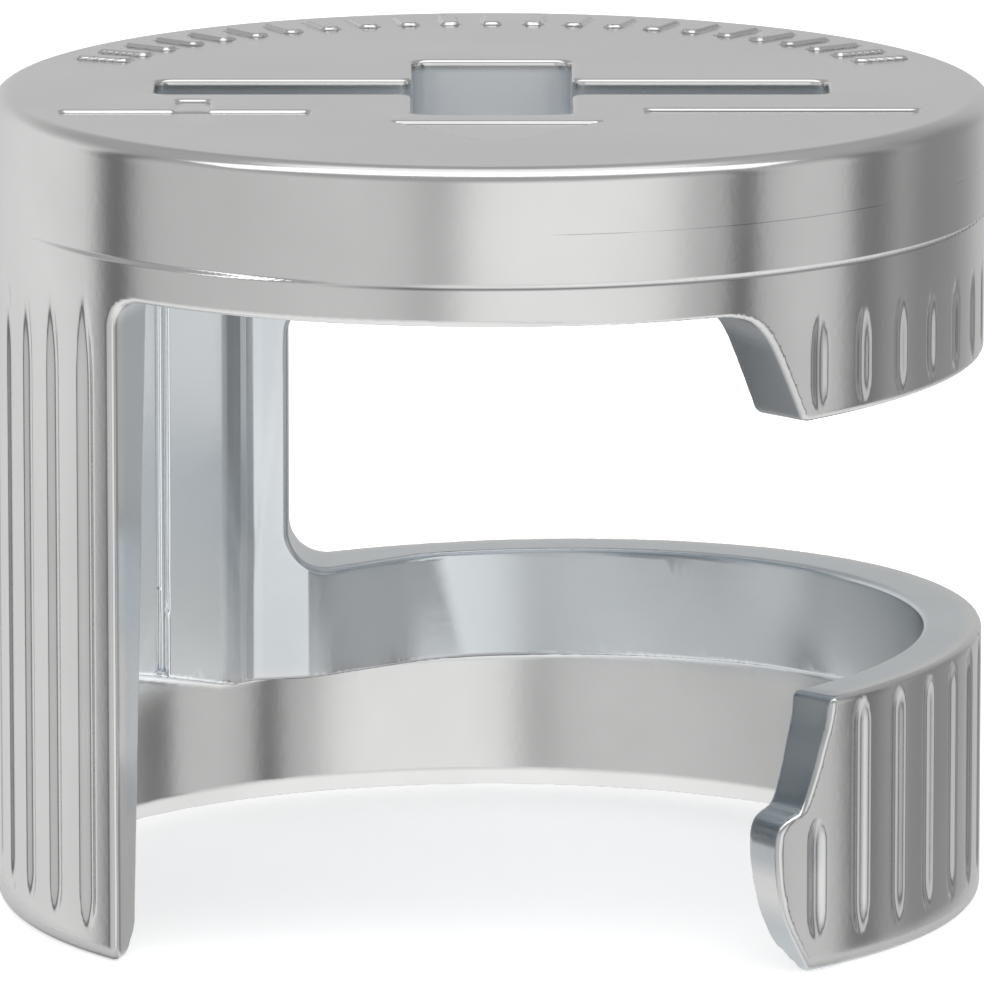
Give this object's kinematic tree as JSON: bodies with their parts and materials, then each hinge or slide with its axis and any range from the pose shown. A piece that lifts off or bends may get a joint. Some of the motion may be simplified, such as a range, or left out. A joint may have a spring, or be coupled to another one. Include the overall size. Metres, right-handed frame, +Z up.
{
  "type": "furniture cam lock fitting",
  "caption": "Round die-cast cam housing for a 15 mm panel bore, with a front window for the bolt head, a side slot for its neck, grooved sides and a cross recess on top.",
  "frame": {"origin": "centre of the foot ring, on the surface the housing stands on", "axes": "+Z up along the drum's axis to the head with the drive recess; the bolt enters from -Y and its neck slot opens towards +X"},
  "size_m": [0.015, 0.015, 0.0123],
  "materials": {
    "zinc_alloy": "satin"
  },
  "bodies": {
    "root": {"cam_housing": "zinc_alloy"}
  },
  "joints": []
}
